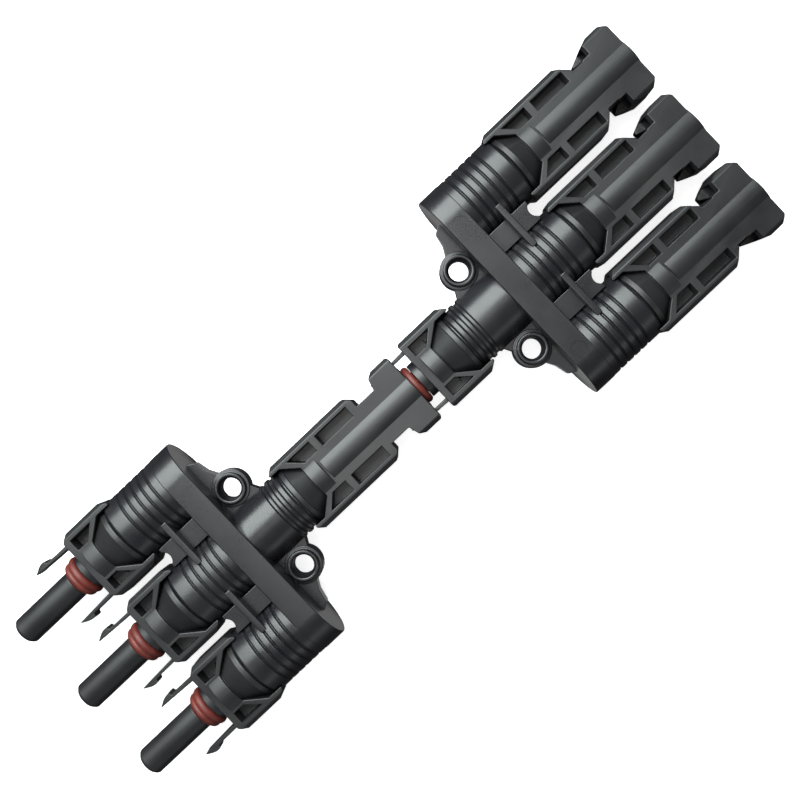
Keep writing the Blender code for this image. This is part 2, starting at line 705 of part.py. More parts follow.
def busbar_mesh(triple_end, single_end):
    """The bar across the manifold, with a round stub into each contact's crimp barrel."""
    root = sum(BUS_X) / 2
    stubs = []
    for y in (-PORT_PITCH, 0.0, PORT_PITCH):
        stub = turned([(-triple_end, 0.0), (-triple_end, STUB_R), (root, STUB_R), (root, 0.0)],
                      FINE_SEGMENTS)
        stub.location = (0.0, y, 0.0)
        stubs.append(stub)
    stubs.append(turned([(root, 0.0), (root, STUB_R), (single_end, STUB_R),
                         (single_end, 0.0)], FINE_SEGMENTS))
    bar = block((BUS_X[0], -BUS_HALF_WIDTH, -BUS_HALF_HEIGHT),
                (BUS_X[1], BUS_HALF_WIDTH, BUS_HALF_HEIGHT))
    return shaped(bar, stubs)


# ---- assembly ----


def add_socket_port(unit, number, port, meshes, squeeze):
    """A socket coupler with its latch arms, seal, contact, spring sleeve and clip."""
    put(f"{unit}_socket_housing_{number}", meshes["housing"], BLACK_PLASTIC, port)
    put(f"{unit}_o_ring_{number}", meshes["seal"], SEAL_RUBBER, port, (SEAL_X, 0.0, 0.0))
    put(f"{unit}_socket_contact_{number}", meshes["contact"], TINNED_COPPER, port)
    put(f"{unit}_contact_lamella_{number}", meshes["lamella"], SPRING_BRASS, port)
    put(f"{unit}_socket_clip_{number}", meshes["clip"], CLIP_STEEL, port,
        (-SOCKET_CLIP_BORE_END - 0.5 * MM, 0.0, 0.0))
    for label, side in (("left", 1), ("right", -1)):
        put(f"{unit}_latch_arm_{number}_{label}", arm_mesh(side, squeeze), LATCH_PLASTIC, port,
            (ARM_HINGE_X, side * ARM_HINGE_Y, 0.0))


def add_pin_port(unit, number, port, meshes):
    put(f"{unit}_pin_shell_{number}", meshes["shell"], BLACK_PLASTIC, port)
    put(f"{unit}_pin_contact_{number}", meshes["pin"], TINNED_COPPER, port)
    put(f"{unit}_pin_clip_{number}", meshes["clip"], CLIP_STEEL, port,
        (-CLIP_BORE_START - 0.5 * MM, 0.0, 0.0))


def build():
    shared = {"seal": seal_mesh(), "contact": socket_contact_mesh(), "lamella": lamella_mesh(),
              "clip": clip_mesh(), "pin": pin_contact_mesh()}
    half_turn = math.pi
    rows = (PORT_PITCH, 0.0, -PORT_PITCH)
    stub_room = 1.0 * MM
    socket_stub = SOCKET_FACE - SOCKET_CONTACT_REAR + CRIMP_DEPTH - stub_room
    pin_stub = SHELL_TIP - PIN_CONTACT_REAR + CRIMP_DEPTH - stub_room

    unit_a = frame("unit_a_frame", None, (UNIT_A_X, 0.0, AXIS_Z))
    single_end = SINGLE_STEM_END["a"]
    put("a_manifold_body", manifold_mesh(single_end), BLACK_PLASTIC, unit_a)
    put("a_busbar", busbar_mesh(TRIPLE_STEM_END + socket_stub, single_end + pin_stub),
        BUS_COPPER, unit_a)
    meshes = dict(shared, housing=socket_mesh(STEM_R, TRIPLE_FRONT_CHAMFER))
    for number, y in enumerate(rows, 1):
        port = frame(f"a_port_{number}_frame", unit_a,
                     (-TRIPLE_STEM_END - SOCKET_FACE, y, 0.0), half_turn)
        add_socket_port("a", number, port, meshes, 0.0)
    meshes = dict(shared, shell=shell_mesh(SINGLE_STEM_R, *SINGLE_SHELL_CHAMFERS, False))
    port = frame("a_port_4_frame", unit_a, (single_end + SHELL_TIP, 0.0, 0.0))
    add_pin_port("a", 4, port, meshes)

    unit_b = frame("unit_b_frame", None, (UNIT_B_X, 0.0, AXIS_Z), half_turn)
    single_end = SINGLE_STEM_END["b"]
    put("b_manifold_body", manifold_mesh(single_end), BLACK_PLASTIC, unit_b)
    put("b_busbar", busbar_mesh(TRIPLE_STEM_END + pin_stub, single_end + socket_stub),
        BUS_COPPER, unit_b)
    meshes = dict(shared, shell=shell_mesh(STEM_R, *TRIPLE_SHELL_CHAMFERS, True))
    for number, y in enumerate(rows, 1):
        port = frame(f"b_port_{number}_frame", unit_b,
                     (-TRIPLE_STEM_END - SHELL_TIP, y, 0.0), half_turn)
        add_pin_port("b", number, port, meshes)
    meshes = dict(shared, housing=socket_mesh(SINGLE_STEM_R, SINGLE_FRONT_CHAMFER))
    port = frame("b_port_4_frame", unit_b, (single_end + SOCKET_FACE, 0.0, 0.0))
    add_socket_port("b", 4, port, meshes, ARM_SQUEEZE)


clear_scene()
PARTS = new_collection("branch_connector_pair")
CUTTERS = new_collection("cutters")
CUTTERS.hide_render = True
build()
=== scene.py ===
"""Looks for a plugged-together pair of three-to-one branch connectors for solar cable.

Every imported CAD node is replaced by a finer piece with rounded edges, built in its own
millimetre frame and then placed from the CAD node's box. A socket coupler's frame has its
front face at x = 0 with the probe along +x; a pin shell's has its open tip at x = 0; a
manifold's has x = 0 at its face on the single-port side, which points to +x.
"""
import math

import bmesh
import bpy
from mathutils import Matrix, Vector


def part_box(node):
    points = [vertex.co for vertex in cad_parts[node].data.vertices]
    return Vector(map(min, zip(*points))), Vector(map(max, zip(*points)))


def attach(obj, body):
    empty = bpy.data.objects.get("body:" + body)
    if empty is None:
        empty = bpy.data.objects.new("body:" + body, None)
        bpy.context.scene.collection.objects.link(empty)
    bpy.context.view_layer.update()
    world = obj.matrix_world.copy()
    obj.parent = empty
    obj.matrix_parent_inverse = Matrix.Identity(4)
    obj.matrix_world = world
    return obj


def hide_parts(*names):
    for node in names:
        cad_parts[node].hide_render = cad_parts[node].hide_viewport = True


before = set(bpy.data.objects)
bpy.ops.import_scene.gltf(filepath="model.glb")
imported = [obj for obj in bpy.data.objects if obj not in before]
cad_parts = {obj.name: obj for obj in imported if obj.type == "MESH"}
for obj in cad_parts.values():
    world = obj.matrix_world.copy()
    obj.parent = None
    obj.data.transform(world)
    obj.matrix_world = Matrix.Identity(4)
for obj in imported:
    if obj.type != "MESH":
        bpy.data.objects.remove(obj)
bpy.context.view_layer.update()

MM = 0.001

# Fineness and edges, in millimetres
ROUND_STEPS = 96
SMALL_STEPS = 64
EDGE_ROUND = 0.25
BEVEL = 0.22
BEVEL_ANGLE = math.radians(32)
SMOOTH_ANGLE = math.radians(40)
LARGEST_SHARE = 0.45   # of an edge that a softened corner may take
WELD = 0.002
SLIVER = 0.001
AXIS = 1e-6
MARGIN = 1.0           # by which a cutting shape runs past what it cuts
OVERLAP = 0.1          # by which a turned core runs into the body round it
THROUGH = 9.0          # half length of a cut that goes right through

# Manifold
PORT_PITCH = 24.3
SLAB_R = 10.15
SLAB_DEPTH = 6.7
STEM_R = 10.05
TRIPLE_STEM_END = 23.7
SINGLE_STEM_R = 9.15
SINGLE_STEM_ENDS = {"a": 15.8, "b": 16.3}
RECESSES = ((5.6, 4.2), (3.2, 1.7))   # far and near edge, back from the single stem's end
RECESS_DEPTH = 0.5
RIDGES = 5
RIDGE_PITCH = 2.4
GROOVE_WIDTH = 0.8
GROOVE_DEPTH = 0.6
WEB_LENGTH = 13.5
WEB_HALF_HEIGHT = 5.4
SCALLOP_R = 2.4
CROSSBAR_START = 6.1
CROSSBAR_THICKNESS = 1.8
CROSSBAR_HALF_HEIGHT = 8.8
WIRE_BORE_R = 3.3
LEAD = 0.5             # chamfer on a stem's end
SPIGOT = 0.36          # length of the ring that closes the gap to a coupler's collar
SPIGOT_R = 8.6
SLAB_BEVEL = 0.35
STEM_ROOT = 0.3        # by which a stem starts inside the slab
STEM_ROUND = 0.22
RECESS_SLOPE = 0.25
CROSSBAR_BEVEL = 0.3
EJECTOR_R = 2.2
EJECTOR_Y = 22.0
EJECTOR_DEPTH = 0.15
EJECTOR_DRAFT = 0.1

# Screw ears
EAR_X = 4.4
EAR_Y = 14.1
EAR_R = 5.2
EAR_HALF_HEIGHT = 2.5
BOSS_R = 4.2
BOSS_HALF_HEIGHT = 3.8
SCREW_HOLE_R = 2.7
LEAD_IN_R = 3.3
LEAD_IN_DEPTH = 2.0
EAR_ROUND = 0.3
GUSSET_HALF_HEIGHT = 2.2
GUSSET_END_Y = 26.7
GUSSET_SHOULDERS = ((2.0, 25.5), (2.8, 21.9))   # x and distance from the middle port
GUSSET_REACH = 9.9

# Both couplers
FLAT_HALF_HEIGHT = 6.2
EDGE_CHAMFER = 1.2
COLLAR_LENGTH = 1.6
COLLAR_R = 9.2
CONE_SMALL_R = 6.6
POCKET_OUTER_Y = 8.7
POCKET_FLOOR = 1.0
FAN_HALF_WIDTH = 8.7
FAN_FLOOR = 2.6
CLIP_BORE_R = 4.4
CONTACT_BORE_R = 3.15
STEM_GAP = 0.3
HIDDEN_ROOM = 0.3
FLANK_REACH = 12.0
COLLAR_EDGE = 0.3

# Socket coupler
SOCKET_HALF_WIDTH = 11.1
SOCKET_COLLAR_END = 13.3
SOCKET_WALL_END = 16.0
SOCKET_REAR_TAPER = (2.4, 1.8)   # length and width
SOCKET_FRONT_CHAMFER = {"a": 1.9, "b": 0.5}
FRONT_PLATE = 2.0
SOCKET_POCKET_ENDS = (5.4, 9.2)  # back and outer back
SOCKET_POCKET_INNER_Y = 5.4
SOCKET_NECK_R = 7.7
SOCKET_CONE_FRONT = 6.2
SOCKET_NECK_FRONT = 2.1
SOCKET_FAN_HALF_WIDTH = 4.5
PROBE_R = 4.0
PROBE_LENGTH = 26.4
PROBE_MOUTH_R = 2.3
PROBE_LIP = 1.9
PROBE_NOSE = 0.9
PROBE_LEAD_IN = (0.4, 0.3)       # depth and width
SEAT_ROOM = (0.1, 0.15)          # beside and below the seal
SEAL_SEAT_R = 5.4
SEAL_X = 4.25
SEAL_HALF_LENGTH = 2.15
SEAL_INNER_R = 3.6
SEAL_OUTER_R = 5.9
SEAL_ROUND = 0.45

# Latch arm
ARM_HINGE = (-0.5, 8.5)
ARM_HALF_HEIGHT = 2.5
ARM_LENGTH = 12.4
ARM_ROOT = 1.0
ARM_ROOM = 0.3
ARM_SLOT = (-1.1, 1.2)           # its two sides, from the hinge
ARM_ROUND = 0.5
ARM_BEVEL = 0.18
HOOK_X = 8.2
HOOK_Y = 10.15
SQUEEZE_B = math.radians(3.0)    # of the arms that sit inside unit A's shell

# Pin shell
SHELL_HALF_WIDTH = 10.85
SHELL_COLLAR_END = 42.3
SHELL_WALL_END = 44.0
SHELL_REAR_TAPER = 1.6
WING_CHAMFER = {"a": 2.0, "b": 3.6}
TIP_CHAMFER = {"a": 0.6, "b": 1.9}
TIP_SHOULDER = ((0.9, 9.8), (2.6, SHELL_HALF_WIDTH))       # from the tip block's rear
SHELF_SHOULDER = ((0.0, 8.7), (4.7, SHELL_HALF_WIDTH))     # from the shelf's rear
TIP_BLOCK_LENGTH = 8.4
TIP_FACE_X = -0.15
WAIST_END = 14.5
WAIST_HALF_WIDTH = 6.7
BARREL_R = 6.85
BARREL_END = 31.6
BARREL_GROOVE_R = 6.0
BARREL_GROOVE_WIDTH = 0.6
SHELL_NECK_R = 7.5
SHELL_NECK_END = 36.3
SHELL_FAN_HALF_WIDTH = 5.0
SHELL_POCKET_INNER_Y = 5.35
SHELL_POCKETS = ((16.9, 27.9, 27.9), (30.1, 34.6, 38.0))   # front, back and outer back
MOUTH_R = 6.05
MOUTH_DEPTH = 6.6
PLUG_BORE_R = 4.3
PLUG_BORE_DEPTH = 28.6
CLIP_BORE_START = 36.0
SOCKET_CLIP_BORE_END = 4.0
CHANNEL_Y = (6.95, 9.85)
CHANNEL_HALF_HEIGHT = 3.0
SHELF_LENGTH = 2.5
SHELF_WALL = 0.25
SHELF_ROOM = 0.3
CORE_ROUND = 0.2

# Metal
PIN_R = 2.0
PIN_START = 6.0
CONTACT_R = 3.0
CRIMP_R = 2.6
CRIMP_BORE_R = 1.7
CRIMP_DEPTH = 8.0
SOCKET_CONTACT_REAR = 20.0
SOCKET_CRIMP_END = 8.0
PIN_CONTACT_REAR = 50.0
PIN_CRIMP_END = 37.5
LAMELLA_SPAN = (8.0, 20.0)
LAMELLA_ROOM = 0.1
LAMELLA_WALL = 0.25
LAMELLA_ROUND = 0.08
SOCKET_TUBE_R = 2.45
SOCKET_TUBE_BACK = 2.0
SOCKET_TUBE_SETBACK = 0.5
SOCKET_CONTACT_ROUND = 0.2
PIN_TAPER = 1.2
PIN_SHOULDER_GAP = 0.3
CLIP_LENGTH = 3.0
CLIP_WALL = 0.4
CLIP_FRONT_R = 3.2
CLIP_REAR_R = 3.75
CLIP_SETBACK = 0.5
METAL_ROUND = 0.3
THIN_ROUND = 0.12
STUB_R = 1.4
BUS_X = (-4.4, -2.4)
BUS_HALF_WIDTH = 26.0
BUS_HALF_HEIGHT = 2.7
COUPLER_GAP = 0.4
STUB_SETBACK = 1.0

# Materials: noise scales in features per metre, bump heights in metres
FLOW_SCALE = 90.0
FIBRE_SCALE = 2400.0
NOISE_SPAN = (0.3, 0.7)      # the part of the noise's range that is stretched out
FLOW_SPAN = (0.25, 0.75)
WORN_EDGES = (0.53, 0.62)    # pointiness at which an edge starts to look rubbed, and is so
WORN_SHARE = 0.35
WORN_LIFT = 2.2
PATCHY = 0.05
SPECKLE = 0.03
GRAIN = 0.000007
CLOUD_SCALE = 220.0
DUST_SCALE = 3000.0
DUSTY_ROUGHNESS = (0.46, 0.62)
DUST_HEIGHT = 0.00002
SEAL_SCATTER = 0.12
SEAL_SCATTER_DEPTH = 0.0008
MARKS_SCALE = 900.0
TARNISH_SCALE = 350.0
MARKS_ROUGHNESS = 0.07
MARKS_HEIGHT = 0.00001

# Camera and light, in metres and degrees
CAMERA_HEIGHT = 0.267
CAMERA_OFFSET = 0.008
CAMERA_TARGET = (0.0057, 0.0001)
CAMERA_ROLL = 43.5
CAMERA_LENS = 45.0
CAMERA_SENSOR = 36.0
CAMERA_NEAR = 0.01

# Cards on the floor beside the manifolds' flat faces, pointing up, for the light off a table
BOUNCE_X = (-0.0375, 0.0349)
BOUNCE_Y = 0.029
BOUNCE_Z = 0.0004
BOUNCE_SIZE = 0.018
BOUNCE_POWER = 0.0005

# Name, place, size, watts and colour of each lamp; all of them point at the pair
SOFTBOXES = (
    ("key", (-0.005, 0.28, 0.32), (0.42, 0.40), 5.35, (0.93, 1.0, 1.0)),
    ("top", (-0.03, 0.02, 0.62), (0.34, 0.24), 0.65, (1.0, 0.98, 0.95)),
    ("fill", (0.0, -0.5, 0.22), (0.6, 0.15), 0.3, (0.95, 0.97, 1.0)),
)

# The world fades from its lower to its upper colour across this height either side of level
HORIZON = 0.15
FLOOR_SIZE = 1.5
FLOOR_DROP = 0.0002
FLOOR_SPECK_SCALE = 60.0
FLOOR_ROUGHNESS = 0.9
FLOOR_GLOW = 0.8
WORLD_ABOVE = (0.200, 0.202, 0.206)
WORLD_BELOW = (0.050, 0.050, 0.052)

# Turns a shape drawn in x and y, thick in z, so that it lies in y and z, thick in x.
TO_X = Matrix(((0, 0, 1, 0), (1, 0, 0, 0), (0, 1, 0, 0), (0, 0, 0, 1)))


# ---- materials ----


def noise(tree, coordinates, scale, detail=3.0, roughness=0.55):
    node = tree.nodes.new("ShaderNodeTexNoise")
    node.inputs["Scale"].default_value = scale
    node.inputs["Detail"].default_value = detail
    node.inputs["Roughness"].default_value = roughness
    tree.links.new(coordinates, node.inputs["Vector"])
    return node.outputs["Fac"]


def remap(tree, value, low, high, new_low, new_high):
    node = tree.nodes.new("ShaderNodeMapRange")
    for name, number in (("From Min", low), ("From Max", high),
                         ("To Min", new_low), ("To Max", new_high)):
        node.inputs[name].default_value = number
    tree.links.new(value, node.inputs["Value"])
    return node.outputs["Result"]


def blend_colours(tree, factor, first, second):
    node = tree.nodes.new("ShaderNodeMix")
    node.data_type = "RGBA"
    tree.links.new(factor, node.inputs["Factor"])
    for socket, colour in ((node.inputs["A"], first), (node.inputs["B"], second)):
        if hasattr(colour, "is_linked"):
            tree.links.new(colour, socket)
        else:
            socket.default_value = (*colour, 1.0)
    return node.outputs["Result"]


def add(tree, first, second):
    node = tree.nodes.new("ShaderNodeMath")
    node.operation = "ADD"
    tree.links.new(first, node.inputs[0])
    tree.links.new(second, node.inputs[1])
    return node.outputs["Value"]


def new_material(name):
    made = bpy.data.materials.new(name)
    made.use_nodes = True
    tree = made.node_tree
    shader = tree.nodes["Principled BSDF"]
    place = tree.nodes.new("ShaderNodeTexCoord").outputs["Object"]
    return made, tree, shader, place


def bump(tree, shader, height, distance, strength=1.0):
    node = tree.nodes.new("ShaderNodeBump")
    node.inputs["Strength"].default_value = strength
    node.inputs["Distance"].default_value = distance
    tree.links.new(height, node.inputs["Height"])
    tree.links.new(node.outputs["Normal"], shader.inputs["Normal"])


def moulded_plastic(name, dark, light, rough):
    """Glass-filled nylon: faint flow mottling, a fine eroded grain and rubbed edges."""
    made, tree, shader, place = new_material(name)
    flow = noise(tree, place, FLOW_SCALE, 4.0)
    fibre = noise(tree, place, FIBRE_SCALE, 2.0)
    tone = remap(tree, flow, *NOISE_SPAN, 0.0, 1.0)
    colour = blend_colours(tree, tone, dark, light)
    wear = tree.nodes.new("ShaderNodeNewGeometry").outputs["Pointiness"]
    rubbed = remap(tree, wear, *WORN_EDGES, 0.0, WORN_SHARE)
    colour = blend_colours(tree, rubbed, colour, [c * WORN_LIFT for c in light])
    tree.links.new(colour, shader.inputs["Base Color"])
    patchy = remap(tree, flow, *FLOW_SPAN, rough - PATCHY, rough + PATCHY)
    speckle = remap(tree, fibre, *NOISE_SPAN, -SPECKLE, SPECKLE)
    tree.links.new(add(tree, patchy, speckle), shader.inputs["Roughness"])
    bump(tree, shader, fibre, GRAIN)
    return made


def silicone(name, dark, light):
    """Moulded rubber, cloudy and a little dusty."""
    made, tree, shader, place = new_material(name)
    cloud = noise(tree, place, CLOUD_SCALE, 3.0)
    dust = noise(tree, place, DUST_SCALE, 2.0)
    colour = blend_colours(tree, remap(tree, cloud, *NOISE_SPAN, 0.0, 1.0), dark, light)
    tree.links.new(colour, shader.inputs["Base Color"])
    tree.links.new(remap(tree, dust, *NOISE_SPAN, *DUSTY_ROUGHNESS), shader.inputs["Roughness"])
    shader.inputs["Subsurface Weight"].default_value = SEAL_SCATTER
    shader.inputs["Subsurface Scale"].default_value = SEAL_SCATTER_DEPTH
    bump(tree, shader, dust, DUST_HEIGHT)
    return made


def turned_metal(name, dark, light, rough, stretch):
    """Machined or drawn metal, with marks that run round or along the part's x."""
    made, tree, shader, place = new_material(name)
    mapping = tree.nodes.new("ShaderNodeMapping")
    mapping.inputs["Scale"].default_value = stretch
    tree.links.new(place, mapping.inputs["Vector"])
    marks = noise(tree, mapping.outputs["Vector"], MARKS_SCALE, 3.0)
    tarnish = noise(tree, place, TARNISH_SCALE, 4.0)
    colour = blend_colours(tree, remap(tree, tarnish, *NOISE_SPAN, 0.0, 1.0), dark, light)
    tree.links.new(colour, shader.inputs["Base Color"])
    shader.inputs["Metallic"].default_value = 1.0
    scratched = remap(tree, marks, *NOISE_SPAN, rough - MARKS_ROUGHNESS, rough + MARKS_ROUGHNESS)
    tree.links.new(scratched, shader.inputs["Roughness"])
    bump(tree, shader, marks, MARKS_HEIGHT)
    return made


# ---- shapes, drawn in millimetres ----


def soften(points, reach=EDGE_ROUND, steps=3, closed=False):
    """The outline with its corners rounded off, starting that far from each corner."""
    count = len(points)
    softened = []
    for i, point in enumerate(points):
        if not closed and i in (0, count - 1):
            softened.append(point)
            continue
        corner = Vector(point)
        before = Vector(points[i - 1]) - corner
        after = Vector(points[(i + 1) % count]) - corner
        near = min(reach, LARGEST_SHARE * before.length, LARGEST_SHARE * after.length)
        start = corner + before.normalized() * near
        end = corner + after.normalized() * near
        for step in range(steps + 1):
            t = step / steps
            on_curve = start * (1 - t) ** 2 + corner * (2 * t * (1 - t)) + end * t ** 2
            softened.append(tuple(on_curve))
    return softened


def arc(centre, radius, start, end, steps):
    """Points on a circle, angles in degrees."""
    angles = [math.radians(start + (end - start) * i / steps) for i in range(steps + 1)]
    return [(centre[0] + radius * math.cos(a), centre[1] + radius * math.sin(a))
            for a in angles]


def as_mesh(shape, name="shape"):
    bmesh.ops.recalc_face_normals(shape, faces=shape.faces)
    mesh = bpy.data.meshes.new(name)
    shape.to_mesh(mesh)
    shape.free()
    return mesh


def turned(profile, steps=ROUND_STEPS, upright=False):
    """A solid turned about x, or z if upright, from a closed ring of (distance, radius).

    Points on the axis are shared by the whole turn.
    """
    shape = bmesh.new()
    columns = []
    for along, radius in profile:
        if radius < AXIS:
            columns.append([shape.verts.new((along, 0.0, 0.0))] * steps)
            continue
        columns.append([
            shape.verts.new((along, radius * math.cos(2 * math.pi * i / steps),
                             radius * math.sin(2 * math.pi * i / steps)))
            for i in range(steps)])
    for one, other in zip(columns, columns[1:] + columns[:1]):
        for i in range(steps):
            j = (i + 1) % steps
            corners = []
            for vert in (one[i], one[j], other[j], other[i]):
                if vert not in corners:
                    corners.append(vert)
            if len(corners) > 2:
                shape.faces.new(corners)
    mesh = as_mesh(shape)
    if upright:
        mesh.transform(Matrix.Rotation(math.radians(-90), 4, "Y"))
    return mesh


def side_block(side, start, end, near, far, low, high):
    """A block from start to end along x, between two distances from the port axis."""
    y = span(side, near, far)
    return block((start, y[0], low), (end, y[1], high))


def rod(start, end, radius, steps=ROUND_STEPS):
    return turned([(start, 0.0), (start, radius), (end, radius), (end, 0.0)], steps)


def upright_rod(radius):
    """A round cutter along z that goes right through."""
    return turned([(-THROUGH, 0.0), (-THROUGH, radius), (THROUGH, radius), (THROUGH, 0.0)],
                  SMALL_STEPS, upright=True)


def plate(outline, low, high):
    """A prism of an outline in x and y, from low to high in z."""
    shape = bmesh.new()
    bottom = shape.faces.new([shape.verts.new((x, y, low)) for x, y in outline])
    lifted = bmesh.ops.extrude_face_region(shape, geom=[bottom])["geom"]
    for vert in lifted:
        if isinstance(vert, bmesh.types.BMVert):
            vert.co.z = high
    return as_mesh(shape)


def block(low, high):
    shape = bmesh.new()
    size = [b - a for a, b in zip(low, high)]
    middle = [(a + b) / 2 for a, b in zip(low, high)]
    bmesh.ops.create_cube(shape, size=1.0, matrix=Matrix.Translation(middle)
                          @ Matrix.Diagonal((*size, 1.0)))
    return as_mesh(shape)


def evaluated(obj):
    """The object's mesh after its modifiers; the object itself is removed."""
    bpy.context.view_layer.update()
    graph = bpy.context.evaluated_depsgraph_get()
    mesh = bpy.data.meshes.new_from_object(obj.evaluated_get(graph))
    bpy.data.objects.remove(obj)
    return mesh


def temporary(mesh):
    obj = bpy.data.objects.new("shape", mesh)
    bpy.context.scene.collection.objects.link(obj)
    return obj


def combined(mesh, tools, operation="DIFFERENCE"):
    """The mesh with each tool cut away, or kept inside each tool."""
    for tool in tools:
        body, cutter = temporary(mesh), temporary(tool)
        boolean = body.modifiers.new("Cut", "BOOLEAN")
        boolean.operation = operation
        boolean.solver = "EXACT"
        boolean.object = cutter
        mesh = evaluated(body)
        bpy.data.objects.remove(cutter)
        shape = bmesh.new()
        shape.from_mesh(mesh)
        bmesh.ops.remove_doubles(shape, verts=shape.verts, dist=WELD)
        bmesh.ops.dissolve_degenerate(shape, edges=shape.edges, dist=SLIVER)
        shape.to_mesh(mesh)
        shape.free()
    return mesh


def bevelled(mesh, width=BEVEL, segments=2):
    """The mesh with its sharp edges rounded."""
    body = temporary(mesh)
    bevel = body.modifiers.new("Bevel", "BEVEL")
    bevel.width = width
    bevel.segments = segments
    bevel.limit_method = "ANGLE"
    bevel.angle_limit = BEVEL_ANGLE
    bevel.use_clamp_overlap = False
    return evaluated(body)


def moved(mesh, *matrices):
    copy = mesh.copy()
    for matrix in matrices:
        copy.transform(matrix)
    return copy


def shifted(mesh, x=0.0, y=0.0, z=0.0):
    return moved(mesh, Matrix.Translation((x, y, z)))


def both_sides(make):
    return [make(side) for side in (-1, 1)]


def span(side, near, far):
    """The two y values in rising order, on that side of the port axis."""
    return sorted((side * near, side * far))


# ---- placing ----


def place_piece(name, meshes, place, material, body, node=None):
    """One piece from millimetre meshes, standing for its CAD node and riding on its body."""
    shape = bmesh.new()
    for mesh in meshes:
        shape.from_mesh(mesh)
    mesh = bpy.data.meshes.new(name)
    shape.to_mesh(mesh)
    shape.free()
    mesh.transform(place @ Matrix.Scale(MM, 4))
    mesh.materials.clear()
    mesh.materials.append(material)
    mesh.shade_smooth()
    mesh.set_sharp_from_angle(angle=SMOOTH_ANGLE)
    obj = bpy.data.objects.new(name, mesh)
    bpy.context.scene.collection.objects.link(obj)
    normals = obj.modifiers.new("Normals", "WEIGHTED_NORMAL")
    normals.keep_sharp = True
    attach(obj, body)
    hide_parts(node or name.removeprefix("fine_"))
    return obj


def middle(node):
    low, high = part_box(node)
    return (low + high) / 2


def turned_frame(x, node, half_turn):
    """A frame on a node's axis at x, turned half round to point to -X or left to point to +X."""
    centre = middle(node)
    return Matrix.Translation((x, centre.y, centre.z)) @ Matrix.Rotation(
        math.pi if half_turn else 0.0, 4, "Z")


# ---- manifold ----


def slab(ejector_marks):
    steps = ROUND_STEPS // 2
    outline = arc((PORT_PITCH, 0.0), SLAB_R, -90, 90, steps)
    outline += arc((-PORT_PITCH, 0.0), SLAB_R, 90, 270, steps)
    body = bevelled(moved(plate(outline, -SLAB_DEPTH, 0.0), TO_X), SLAB_BEVEL, 3)
    if not ejector_marks:
        return body
    above = 0.5
    dimple = [(-EJECTOR_DEPTH, 0.0), (-EJECTOR_DEPTH, EJECTOR_R - EJECTOR_DRAFT),
              (above, EJECTOR_R + EJECTOR_DRAFT), (above, 0.0)]
    dimples = both_sides(lambda side: shifted(
        turned(dimple, SMALL_STEPS, upright=True), -SLAB_DEPTH / 2, side * EJECTOR_Y, SLAB_R))
    return combined(body, dimples)


def triple_stem(y):
    """A ribbed stem with rounded ridges and a bore for the wire."""
    start = STEM_ROOT - SLAB_DEPTH
    profile = [(start, WIRE_BORE_R), (start, STEM_R)]
    for i in range(RIDGES):
        groove = -SLAB_DEPTH - RIDGE_PITCH * (i + 1)
        profile += [(groove + GROOVE_WIDTH / 2, STEM_R), (groove, STEM_R - GROOVE_DEPTH),
                    (groove - GROOVE_WIDTH / 2, STEM_R)]
    spigot_end = -TRIPLE_STEM_END - SPIGOT
    profile += [(LEAD - TRIPLE_STEM_END, STEM_R), (-TRIPLE_STEM_END, STEM_R - LEAD),
                (-TRIPLE_STEM_END, SPIGOT_R), (spigot_end, SPIGOT_R), (spigot_end, WIRE_BORE_R)]
    return shifted(turned(soften(profile, STEM_ROUND, closed=True)), y=y)


def single_stem(end):
    start = -STEM_ROOT
    floor = SINGLE_STEM_R - RECESS_DEPTH
    profile = [(start, WIRE_BORE_R), (start, SINGLE_STEM_R)]
    for far, near in RECESSES:
        profile += [(end - far, SINGLE_STEM_R), (end - far + RECESS_SLOPE, floor),
                    (end - near - RECESS_SLOPE, floor), (end - near, SINGLE_STEM_R)]
    profile += [(end - LEAD, SINGLE_STEM_R), (end, SINGLE_STEM_R - LEAD), (end, SPIGOT_R),
                (end + SPIGOT, SPIGOT_R), (end + SPIGOT, WIRE_BORE_R)]
    return turned(soften(profile, STEM_ROUND, closed=True))


def ear(side):
    """A flange and a raised boss round a screw hole with a lead-in at both ends."""
    flank = BOSS_HALF_HEIGHT - LEAD_IN_DEPTH
    upper = [(EAR_HALF_HEIGHT, EAR_R), (EAR_HALF_HEIGHT, BOSS_R), (BOSS_HALF_HEIGHT, BOSS_R),
             (BOSS_HALF_HEIGHT, LEAD_IN_R), (flank, SCREW_HOLE_R)]
    profile = upper + [(-z, r) for z, r in reversed(upper)]
    ring = turned(soften(profile, EAR_ROUND, closed=True), SMALL_STEPS, upright=True)
    return shifted(ring, EAR_X, side * EAR_Y)


def gusset(side):
    """The flat rib that carries an ear, from the slab's end to the single stem."""
    far = EAR_Y + EAR_R
    outline = [
        (-SLAB_DEPTH / 2, side * SINGLE_STEM_R / 2), (-SLAB_DEPTH / 2, side * GUSSET_END_Y),
        (0.0, side * GUSSET_END_Y), *((x, side * y) for x, y in GUSSET_SHOULDERS),
        (EAR_X, side * (far - 0.2)),
        (EAR_X + EAR_R * 0.8, side * (EAR_Y - EAR_R * 0.55)),
        (GUSSET_REACH, side * (SINGLE_STEM_R - 0.4)), (GUSSET_REACH, side * SINGLE_STEM_R / 2),
    ]
    rib = plate(outline, -GUSSET_HALF_HEIGHT, GUSSET_HALF_HEIGHT)
    wall = (SCREW_HOLE_R + BOSS_R) / 2
    return bevelled(combined(rib, [shifted(upright_rod(wall), EAR_X, side * EAR_Y)]))


